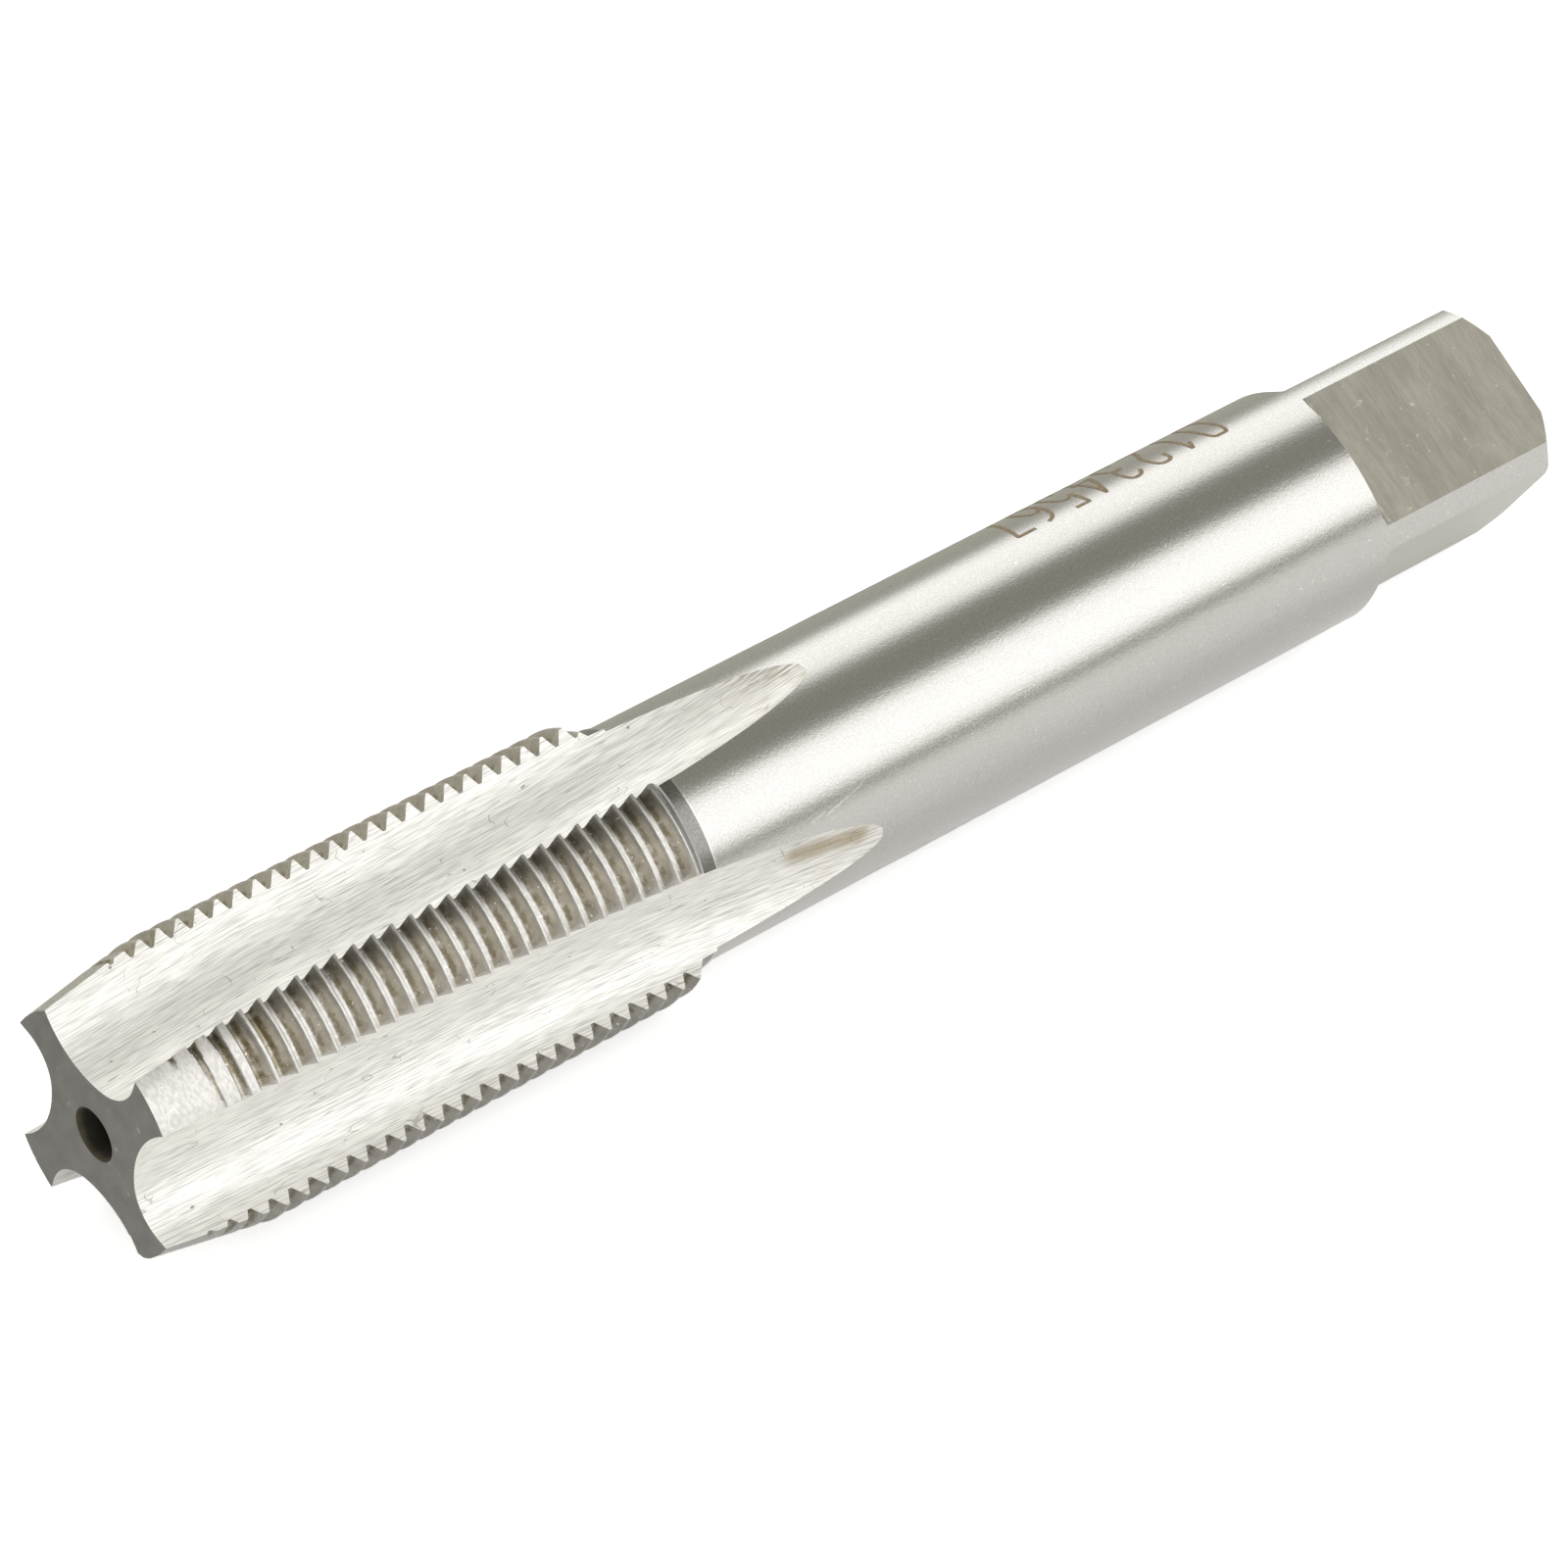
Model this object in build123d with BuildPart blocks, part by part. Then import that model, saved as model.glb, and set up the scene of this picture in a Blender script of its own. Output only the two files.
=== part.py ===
from build123d import *
import os
from math import asin, degrees, floor, radians, sqrt, tan

# Hand tap for a right-hand metric thread, ground from one bar. It lies along +X: the front face, which enters
# the hole first, is at x = 0 and the driving square is at the far end. Millimetres and degrees.

# Thread
major_diameter = 16.0
pitch = 1.25
thread_angle = 60.0
thread_depth = 0.78
crest_width = 0.15
thread_length = 34.2
thread_runout = 0.3
first_groove = 0.97

# Tapered lead in front of the full thread, and the chamfer and collar behind it
point_diameter = 13.7
lead_length = 6.9
rear_chamfer_length = 0.9
collar_diameter = 14.1
collar_length = 1.0

# Shank and driving square
overall_length = 99.35
shank_diameter = 13.8
end_chamfer = 0.9
square_across_flats = 10.8
square_length = 13.8
square_foot_radius = 0.6
shoulder_lean = 20.0
square_turn = 34.5

# Flutes: a tight arc under the cutting face and a wide one behind it meet at the bottom, and each runs straight
# on to the land. The core thickens, and the bottom moves toward the middle of the flute, from the front face to
# where the wheel starts to lift.
flute_count = 4
core_diameter_front = 6.6
core_diameter_rear = 8.1
hook_radius = 2.7
rake_angle = 19.0
back_radius = 5.3
back_arc = 66.0
flute_offset_front = 1.0
flute_offset_rear = 0.62
straight_flute_length = 12.0
wheel_radius = 223.4

# Centre holes, one in each end
centre_mouth_diameter = 3.1
centre_drill_diameter = 1.8
centre_drill_depth = 4.5
centre_angle = 60.0

major_radius = major_diameter / 2
shank_radius = shank_diameter / 2
clearance = 1.0
wheel_margin = 1.2
groove_share = 0.7
clear_radius = max(major_radius, shank_radius) + clearance
flute_pitch = 360 / flute_count

# The blank, turned to its outline
collar_start = thread_length + rear_chamfer_length
with BuildPart() as blank:
    with BuildSketch(Plane.XY):
        with BuildLine():
            Polyline(
                (0, 0),
                (0, point_diameter / 2),
                (lead_length, major_radius),
                (thread_length, major_radius),
                (collar_start, collar_diameter / 2),
                (collar_start + collar_length, collar_diameter / 2),
                (collar_start + collar_length, shank_radius),
                (overall_length - end_chamfer, shank_radius),
                (overall_length, shank_radius - end_chamfer),
                (overall_length, 0),
                close=True,
            )
        make_face()
    revolve(axis=Axis.X)

# One flat's cutter, drawn upright with the tap's axis along Z: it mills one side of the square back to a
# rounded foot, under a shoulder that leans toward the thread
flat_height = square_across_flats / 2
shoulder = overall_length - square_length
shoulder_top = shoulder - (clear_radius - flat_height) * tan(radians(shoulder_lean))
with BuildPart() as flat:
    with BuildSketch(Plane.YZ) as flat_section:
        with BuildLine():
            Polyline(
                (flat_height, shoulder),
                (clear_radius, shoulder_top),
                (clear_radius, overall_length + clearance),
                (flat_height, overall_length + clearance),
                close=True,
            )
        make_face()
        fillet(flat_section.vertices().sort_by_distance((0, flat_height, shoulder))[0], radius=square_foot_radius)
    extrude(amount=clear_radius, both=True)


def flute_section(height, core_diameter, offset):
    """One flute's cross-section at a height: it opens toward +Y, with its cutting face on the -X side."""
    bottom = Vector(-offset, core_diameter / 2)
    with BuildSketch(Plane.XY.offset(height)) as section:
        with BuildLine():
            hook = CenterArc(bottom + (0, hook_radius), hook_radius, 270, rake_angle - 90)
            back = CenterArc(bottom + (0, back_radius), back_radius, 270, back_arc)
            hook_run = (clear_radius - (hook @ 1).Y) * tan(radians(rake_angle))
            back_run = (clear_radius - (back @ 1).Y) / tan(radians(back_arc))
            hook_top = Vector((hook @ 1).X - hook_run, clear_radius)
            back_top = Vector((back @ 1).X + back_run, clear_radius)
            Polyline(hook @ 1, hook_top, back_top, back @ 1)
        make_face()
    return section.sketch


# One flute's cutter, upright: straight from the front face, then lifted out along the rim of the grinding
# wheel until it leaves the shank, with a margin on the angle
wheel_lift = clear_radius - core_diameter_rear / 2
wheel_exit = wheel_margin * degrees(asin(sqrt(2 * wheel_lift / wheel_radius)))
with BuildPart() as flute:
    front = flute_section(0, core_diameter_front, flute_offset_front)
    rear = flute_section(straight_flute_length, core_diameter_rear, flute_offset_rear)
    loft([front, rear], ruled=True)
    extrude(front, amount=-clearance)
    wheel_centre = (0, core_diameter_rear / 2 + wheel_radius, straight_flute_length)
    revolve(rear, axis=Axis(wheel_centre, (-1, 0, 0)), revolution_arc=wheel_exit)

# One stretch of the thread's groove: a V with a narrow flat root on a helix, over the share of the flute pitch
# that takes it across one land
groove_width = pitch - crest_width
groove_slope = tan(radians(thread_angle / 2))
overcut = crest_width / (4 * groove_slope)
root_width = groove_width - 2 * thread_depth * groove_slope
mouth_width = groove_width + 2 * overcut * groove_slope
groove_arc = groove_share * flute_pitch
groove_advance = pitch * groove_arc / 360
with BuildPart() as groove:
    with BuildLine() as helix:
        Helix(
            pitch=pitch,
            height=groove_advance,
            radius=major_radius - thread_depth,
            center=(-groove_advance / 2, 0, 0),
            direction=(1, 0, 0),
        )
    with BuildSketch(Plane(origin=helix.line @ 0, x_dir=(1, 0, 0), z_dir=helix.line % 0)):
        with BuildLine():
            Polyline(
                (-root_width / 2, 0),
                (root_width / 2, 0),
                (mouth_width / 2, thread_depth + overcut),
                (-mouth_width / 2, thread_depth + overcut),
                close=True,
            )
        make_face()
    sweep(path=helix.line, is_frenet=True)

groove_count = 1 + floor((thread_length + thread_runout - first_groove) * flute_count / pitch)
groove_places = [
    Location((first_groove + step * pitch / flute_count, 0, 0), ((step + 0.5) * flute_pitch - groove_arc / 2, 0, 0))
    for step in range(groove_count)
]

with BuildPart() as tap:
    add(blank.part)

    # The shank's own round is left on the corners between the flats
    with Locations(Plane.YZ):
        with PolarLocations(0, 4, start_angle=square_turn):
            add(flat.part, mode=Mode.SUBTRACT)

    # Centre holes in both ends
    for end in (tap.faces().sort_by(Axis.X)[0], tap.faces().sort_by(Axis.X)[-1]):
        with Locations(Plane(end)):
            CounterSinkHole(
                radius=centre_drill_diameter / 2,
                counter_sink_radius=centre_mouth_diameter / 2,
                depth=centre_drill_depth,
                counter_sink_angle=centre_angle,
            )

    # The helix crosses the lands one after another, a quarter turn and a quarter pitch apart
    with Locations(*groove_places):
        add(groove.part, mode=Mode.SUBTRACT)

    # The flutes take away the ends of the grooves and leave the teeth
    with Locations(Plane.YZ):
        with PolarLocations(0, flute_count):
            add(flute.part, mode=Mode.SUBTRACT)

tap.part.label = "tap"
os.makedirs("parts", exist_ok=True)
export_step(tap.part, "parts/tap.step")
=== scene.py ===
"""A thread tap: one ground steel tool with four flutes, a fine thread, a plain shank and a driving square."""

import functools
import math

import bmesh
import bpy
import numpy as np
from bpy.props import FloatProperty, FloatVectorProperty, PointerProperty, StringProperty
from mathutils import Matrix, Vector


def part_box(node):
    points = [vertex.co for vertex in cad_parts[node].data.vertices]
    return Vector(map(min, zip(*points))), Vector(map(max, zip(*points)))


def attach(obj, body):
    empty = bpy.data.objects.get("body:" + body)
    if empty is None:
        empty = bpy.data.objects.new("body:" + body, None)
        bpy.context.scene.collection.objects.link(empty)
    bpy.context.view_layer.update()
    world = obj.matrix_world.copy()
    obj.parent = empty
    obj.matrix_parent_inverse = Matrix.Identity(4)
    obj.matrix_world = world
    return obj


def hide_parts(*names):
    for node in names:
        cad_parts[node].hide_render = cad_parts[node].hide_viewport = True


bl_info = {
    "name": "Thread tap",
    "version": (1, 0, 0),
    "blender": (4, 5, 0),
    "location": "3D View > Sidebar > Tap",
    "description": "Builds a hand tap with its thread, flutes, driving square, finish and stage",
    "category": "Object",
}

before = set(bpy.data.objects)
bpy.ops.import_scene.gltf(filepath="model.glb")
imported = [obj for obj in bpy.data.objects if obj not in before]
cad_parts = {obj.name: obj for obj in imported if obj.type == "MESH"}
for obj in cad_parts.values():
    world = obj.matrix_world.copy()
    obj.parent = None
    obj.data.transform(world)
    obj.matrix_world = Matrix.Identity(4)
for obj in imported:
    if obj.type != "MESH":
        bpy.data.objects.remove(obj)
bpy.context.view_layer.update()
TAP_LOW, TAP_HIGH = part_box("tap")

MM = 0.001


# ---------------------------------------------------------------- settings


def length(name, description, default):
    """A property for a length, given here in millimetres and held in metres."""
    return FloatProperty(name=name, description=description, default=default * MM, unit="LENGTH", precision=5)


def angle(name, description, default):
    """A property for an angle, given here in degrees and held in radians."""
    return FloatProperty(name=name, description=description, default=math.radians(default), subtype="ANGLE")


def paint(name, description, default):
    """A property for a linear colour."""
    look = {"subtype": "COLOR", "min": 0, "max": 1}
    return FloatVectorProperty(name=name, description=description, default=default, **look)


class TapSizes(bpy.types.PropertyGroup):
    """Sizes of the tap."""

    major: length("Major diameter", "Across the crests of the thread", 16.0)
    pitch: length("Pitch", "From one crest to the next along the axis", 1.25)
    depth: length("Thread depth", "From crest to root", 0.78)
    root_flat: length("Root flat", "Width of the groove's bottom", 0.2)
    first_groove: length("First groove", "Where the groove crosses the first land", 0.97)
    shallow: length("Shallow start", "How much shallower the first grooves are behind the cutting edge", 0.2)
    shallow_end: length("Shallow end", "Where the groove reaches its full depth", 6.1)
    point: length("Point diameter", "Across the front end", 13.7)
    lead: length("Lead length", "Length of the tapered lead", 6.9)
    thread_end: length("Thread length", "Where the rear chamfer starts", 34.2)
    collar_start: length("Collar start", "Where the rear chamfer ends", 35.1)
    collar_end: length("Collar end", "Where the collar ends", 36.1)
    collar: length("Collar diameter", "Across the collar behind the thread", 14.1)
    shank: length("Shank diameter", "Across the plain shank", 13.8)
    end_chamfer: length("End chamfer", "Width of the chamfer on the driving end", 0.9)
    core_front: length("Front core", "Across the bottoms of the flutes, at the front face", 6.6)
    core_rear: length("Rear core", "Across the bottoms of the flutes, where the wheel lifts", 8.1)
    hook: length("Hook radius", "Radius under the cutting face", 2.7)
    back: length("Back radius", "Radius of the flute's other side", 5.3)
    offset_front: length("Front offset", "Flute's lowest line from the middle, at the front face", 1.0)
    offset_rear: length("Rear offset", "Flute's lowest line from the middle, where the wheel lifts", 0.62)
    flute_straight: length("Straight length", "Where the grinding wheel starts to lift", 12.0)
    wheel: length("Wheel radius", "Radius of the grinding wheel", 223.4)
    rake: angle("Rake", "Lean of the cutting face", 19.0)
    back_arc: angle("Back arc", "Turn of the flute's other side", 66.0)
    flats: length("Across flats", "Width of the driving square", 10.8)
    square: length("Square length", "Length of the driving square", 13.8)
    foot: length("Foot radius", "Rounding under the square's shoulder", 0.6)
    shoulder_lean: angle("Shoulder lean", "Lean of the square's shoulder", 20.0)
    square_turn: angle("Square turn", "Turn of the square about the axis", 34.5)
    mouth: length("Centre mouth", "Across the mouth of each centre hole", 3.1)
    mouth_wear: length("Mouth wear", "How far the front hole's mouth is worn off the round", 0.17)
    drill: length("Centre drill", "Across each centre hole's drilled end", 1.8)
    drill_depth: length("Centre depth", "Depth of each centre hole", 4.5)


class TapFinish(bpy.types.PropertyGroup):
    """Colours of the tap's ground and worn steel."""

    flute: paint("Flutes", "Freshly ground flute walls", (0.93, 0.915, 0.885))
    scratch: paint("Scratches", "Dark scratches along the flutes", (0.30, 0.28, 0.24))
    pit: paint("Pits", "Pits in the flutes' walls", (0.16, 0.14, 0.11))
    hair: paint("Hair marks", "Fine curved marks on the flutes' walls", (0.24, 0.22, 0.18))
    low_stain: paint("Lower stain", "Brown at the lower near flute's tip", (0.42, 0.34, 0.22))
    high_stain: paint("Upper stain", "Brown at the upper flute's tip", (0.30, 0.25, 0.17))
    tan: paint("Tan", "Darker scratches where the flutes run out", (0.44, 0.38, 0.27))
    land: paint("Lands", "Crests of the thread and the lead", (0.60, 0.585, 0.56))
    groove: paint("Grooves", "Flanks of the thread", (0.49, 0.465, 0.415))
    olive: paint("Olive", "Old oil beside the grooves' bottoms", (0.20, 0.165, 0.09))
    # Painted glints: bright specks that stand in for highlights on the thread
    painted_glint: paint("Specks", "Bright specks on the thread", (1.0, 0.99, 0.96))
    chamfer: paint("Rear chamfer", "Turned chamfer behind the thread", (0.85, 0.84, 0.82))
    collar_dark: paint("Dark collar", "Darker grain of the collar", (0.16, 0.155, 0.147))
    collar_pale: paint("Pale collar", "Paler grain of the collar", (0.24, 0.235, 0.225))
    shank: paint("Shank", "Satin ground shank", (0.595, 0.585, 0.565))
    shank_scratch: paint("Shank scratch", "Fine bright scratch on the shank", (0.95, 0.94, 0.91))
    square: paint("Square", "Milled flats of the square", (0.415, 0.395, 0.345))
    # Painted light: the flat that faces down and near is paler for the light it catches
    painted_light_flat: paint("Low flat", "The flat that faces down and near", (0.585, 0.57, 0.535))
    face: paint("Front face", "Dull ground front face", (0.195, 0.188, 0.178))
    # Painted shade in the centre holes: nearly black inside, and a lighter brown toward their mouths
    hole: paint("Centre hole", "Dark inside of the centre holes", (0.012, 0.010, 0.006))
    hole_mouth_shade: paint("Hole mouth", "Brown at the centre holes' mouths", (0.075, 0.058, 0.03))
    etch: paint("Etched digits", "Brown line of the etched digits", (0.24, 0.185, 0.115))


class TapDigits(bpy.types.PropertyGroup):
    """The plain row of etched digits."""

    row: StringProperty(name="Digits", description="Plain digits, each from 0 to 7", default="01234567")
    height: length("Height", "Height of a digit", 3.7)
    line: length("Line width", "Width of the etched line", 0.26)
    fill: FloatProperty(name="Fill", description="Digit's width as a share of its room", default=0.62)
    start: length("Start", "Where the row starts along the shank", 63.6)
    end: length("End", "Where the row ends along the shank", 80.5)
    around: angle("Around", "Where the row's middle lies around the shank, up from the near side", 69.0)
    lift: length("Lift", "How far the digits stand off the shank", 0.006)


class TapStage(bpy.types.PropertyGroup):
    """Camera, floor and light."""

    camera: FloatVectorProperty(
        name="Camera", description="Place of the camera", default=(-0.17296, -0.23904, 0.24066), unit="LENGTH"
    )
    camera_turn: FloatVectorProperty(
        name="Camera turn",
        description="Turns of the camera about X, Y and Z",
        default=[math.radians(turn) for turn in (53.36397, -0.89937, -41.89146)],
        subtype="EULER",
    )
    lens: FloatProperty(name="Lens", description="Focal length in millimetres", default=173.6, min=1)
    floor_size: length("Floor size", "Width of the floor", 6000.0)
    floor: paint("Floor", "Pale floor", (0.90, 0.90, 0.90))
    floor_mirrored: paint("Mirrored floor", "What the steel shows of the floor behind it", (0.48, 0.47, 0.42))


# ---------------------------------------------------------------- noise


def wander(x, step, seed, count=4096):
    """Smooth noise along a line: random values from -1 to 1 a step apart, joined by a cubic ease."""
    table = np.random.default_rng(seed).uniform(-1, 1, count)
    u = x / step
    low = np.floor(u).astype(int)
    part = u - low
    ease = part * part * (3 - 2 * part)
    return table[low % count] * (1 - ease) + table[(low + 1) % count] * ease


def soft_max(a, b, k):
    """The larger of two values, with their corner rounded over a band k wide."""
    h = np.clip(k - np.abs(a - b), 0, None) / k
    return np.maximum(a, b) + h * h * k / 4


def steps(count):
    """Shares in even steps, from the first step to one."""
    return np.linspace(0, 1, count + 1)[1:]


def read(items, name, width=1, kind=np.int32):
    """One value of every item of a mesh, as an array."""
    values = np.zeros(len(items) * width, kind)
    items.foreach_get(name, values)
    return values.reshape(-1, width) if width > 1 else values


def new_mesh(name, points, faces):
    """A smooth mesh from its points and faces."""
    mesh = bpy.data.meshes.new(name)
    mesh.from_pydata(points, [], faces)
    mesh.shade_smooth()
    return mesh


# ---------------------------------------------------------------- the tap's form


# Columns around each quarter: a flute's back wall and hook, then a land. On the driving end the first few of
# them go to the square's corner.
BACK_COLUMNS = 12
HOOK_COLUMNS = 14
LAND_COLUMNS = 8
FLUTE_COLUMNS = BACK_COLUMNS + HOOK_COLUMNS
QUARTER_COLUMNS = FLUTE_COLUMNS + LAND_COLUMNS
CORNER_COLUMNS = 6
FLUTES = 4
FIRST_LAND = math.radians(135)
QUARTER = math.pi / 2

# Rows along the thread: half a tooth, as shares of the pitch from a groove's middle, and the plain rows
# before the first groove and behind the last one
HALF_TOOTH = np.array([0, 0.074, 0.086, 0.14, 0.2, 0.27, 0.35, 0.434, 0.446, 0.5])
GROOVES = 27
LAST_TURN = GROOVES - 0.5
PLAIN_ROWS = 8

# Rows behind the thread: shares of the collar, then the runout of the flutes, the shank, the square's foot,
# its flats and the end chamfer
COLLAR_ROWS = np.array([0.35, 0.7, 0.96, 1.0])
RUNOUT_ROWS = 28
SHANK_ROWS = 25
FOOT_ROWS = 8
FLAT_ROWS = 6
CHAMFER_ROWS = 4
FLUTE, LAND, SHANK, SQUARE, FACE, HOLE = range(6)

# Half the angle of the thread's groove and of the centre holes' cones, and the least turn that makes an edge
# crisp
HALF_ANGLE = math.radians(30)
CRISP_ANGLE = math.radians(27)
ROOT_ROUND = 0.012 * MM
CREST_ROUND = 0.01 * MM
COLLAR_STEP = 0.05 * MM
TIP_GAP = 0.01 * MM
HOLE_EDGE = 0.02 * MM
TWIST_LENGTH = 12 * MM

# How much of the shallow start there is at each land's heel, and at every cutting edge, and the length over
# which the root sinks to its full depth
HEELS = (0.85, 1.0, 1.0, 0.85)
CUTTING = -0.5
SINK_LENGTH = 1.4 * MM

# How far apart the flutes' walls lie in the pattern of their scratches
FLUTE_APART = 0.02

# Wear: ragged edges of the flutes as a share of the wall, nicks along the crests, and the rounded front
# corner of the bottom land
BACK_SEED, HOOK_SEED, NICK_SEED = 11, 31, 71
RAGGED = 0.003
RAGGED_STEPS = (0.23 * MM, 0.08 * MM)
NICK_STEPS = (0.35 * MM, 0.11 * MM)
NICK_LEVEL = 0.55
NICK_DEPTH = 0.035 * MM
CREST_SHARE = 0.2
CORNER_AT = math.radians(240)
CORNER_SPREAD = math.radians(4)
CORNER_LENGTH = 7 * MM
CORNER_FROM = 5.5 * MM
CORNER_WEAR = 0.35 * MM


def outline_radius(p, x):
    """Radius of the turned blank at x: straight from point to point of its outline."""
    stops = (0, p.lead, p.thread_end, p.collar_start, p.collar_end, p.collar_end + COLLAR_STEP)
    radii = (p.point / 2, p.major / 2, p.major / 2, p.collar / 2, p.collar / 2, p.shank / 2)
    return np.interp(x, stops, radii)


def thread_radius(p, x, turns, heel):
    """Radius at x on the thread. turns counts pitches from the middle of a groove: the root is flat, then the
    flank rises by the cotangent of the half angle until it meets the blank's outline. heel is how much of the
    shallow start there is: the root sinks to its full depth over the end of it.
    """
    away = np.abs(turns - np.round(turns)) * p.pitch
    sink = np.clip((p.shallow_end - x) / SINK_LENGTH, 0, 1)
    root = p.major / 2 - p.depth + p.shallow * heel * sink
    flank = root + (away - p.root_flat / 2) / math.tan(HALF_ANGLE)
    groove = soft_max(flank, root, ROOT_ROUND)
    return -soft_max(-groove, -outline_radius(p, x), CREST_ROUND)


def flute_point(p, side, s, x):
    """A point on a flute's wall, as (across, height) with the flute opening upwards. From the lowest line, a
    wall is an arc for s up to 1 and then straight on along its tangent, with s even along its length. The
    core thickens up to the straight length's end, and behind it the height is lifted along the rim of the
    grinding wheel.
    """
    offset = np.interp(x, (0, p.flute_straight), (p.offset_front, p.offset_rear))
    core = np.interp(x, (0, p.flute_straight), (p.core_front, p.core_rear)) / 2
    sign, radius, full = (1, p.back, p.back_arc) if side == "back" else (-1, p.hook, math.pi / 2 - p.rake)
    turn = np.clip(s, 0, 1) * full
    run = np.clip(s - 1, 0, None) * full * radius
    across = sign * (radius * np.sin(turn) + run * math.cos(full))
    height = core + radius * (1 - np.cos(turn)) + run * math.sin(full)
    top = p.core_rear / 2 + p.wheel
    past = np.clip(x - p.flute_straight, 0, None)
    return across - offset, top - np.sqrt((top - height) ** 2 - past**2)


def reach(p, side, x, radius):
    """How far along a flute's wall, as s, the wall meets a radius: found by halving."""
    low = np.zeros(np.shape(x))
    high = low + 3.0
    for _ in range(34):
        middle = (low + high) / 2
        inside = np.hypot(*flute_point(p, side, middle, x)) < radius
        low = np.where(inside, middle, low)
        high = np.where(inside, high, middle)
    return (low + high) / 2


def flute_tip(p):
    """Where a flute's lowest line leaves the shank."""
    level = math.sqrt((p.shank / 2) ** 2 - p.offset_rear**2)
    return p.flute_straight + math.sqrt(p.wheel**2 - (p.core_rear / 2 + p.wheel - level) ** 2)


class Rows:
    """The rows of the fluted length. A row of the thread is a count of turns, so it follows the helix."""

    def __init__(self, p):
        tooth = np.concatenate([-HALF_TOOTH[-2:0:-1], HALF_TOOTH])
        body = (np.arange(1, GROOVES)[:, None] + tooth[None, :]).ravel()
        self.p = p
        self.turns = np.concatenate([[0.5], body])
        self.start = 1 - steps(PLAIN_ROWS)[::-1]
        self.tail = steps(PLAIN_ROWS)
        tip = flute_tip(p)
        collar = COLLAR_ROWS * (p.collar_end - p.collar_start) + p.collar_start
        runout = tip - (tip - p.collar_end) * (1 - steps(RUNOUT_ROWS + 1)[:-1]) ** 2
        self.plain = np.concatenate([collar, [p.collar_end + COLLAR_STEP], runout, [tip - TIP_GAP]])
        self.threaded = len(self.start) + len(self.turns) + len(self.tail)
        self.count = self.threaded + len(self.plain)

    def along(self, shift):
        """x of every row, for shift of the thread along the axis in each row and column. In front of the
        first groove and behind the last one the rows are spread evenly.
        """
        p = self.p
        first, last = len(self.start), len(self.start) + len(self.turns)
        begin = p.first_groove + p.pitch * self.turns[0] + shift[:first]
        body = p.first_groove + p.pitch * self.turns[:, None] + shift[first:last]
        last_turn = p.first_groove + p.pitch * self.turns[-1]
        end = np.maximum(last_turn + shift[last : self.threaded], p.thread_end)
        tail = end + self.tail[:, None] * (p.collar_start - end)
        plain = np.repeat(self.plain[:, None], shift.shape[1], 1)
        return np.concatenate([self.start[:, None] * begin, body, tail, plain])

    def turns_at(self, x, shift):
        """How many pitches x is behind the first groove's middle, within the thread."""
        return np.clip((x - self.p.first_groove - shift) / self.p.pitch, 0.5, LAST_TURN)

    def radius(self, x, shift, heel):
        """The land's radius at x, for a share of the shallow start."""
        return thread_radius(self.p, x, self.turns_at(x, shift), heel)


def thread_shift(p, phi, lap):
    """How far the helix has gone along the axis at an angle, less whole laps."""
    return p.pitch * ((phi - FIRST_LAND) / (2 * math.pi) - lap)


def flute_edge(p, rows, side, middle, lap, seed, heel):
    """Where one wall of a flute meets the land, row by row: x, s along the wall, and the angle. x and the
    angle depend on each other along the helix, so they are settled in a few rounds.
    """
    phi = np.full((rows.count, 1), middle)
    for _ in range(6):
        shift = thread_shift(p, phi, lap)
        x = rows.along(shift)
        s = reach(p, side, x, rows.radius(x, shift, heel))
        phi = middle - np.arctan2(*flute_point(p, side, s, x))
    ragged = sum(RAGGED * wander(x, step, seed + i) for i, step in enumerate(RAGGED_STEPS))
    s = s * (1 - np.clip(ragged, 0, None))
    return x, s, middle - np.arctan2(*flute_point(p, side, s, x))


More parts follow.
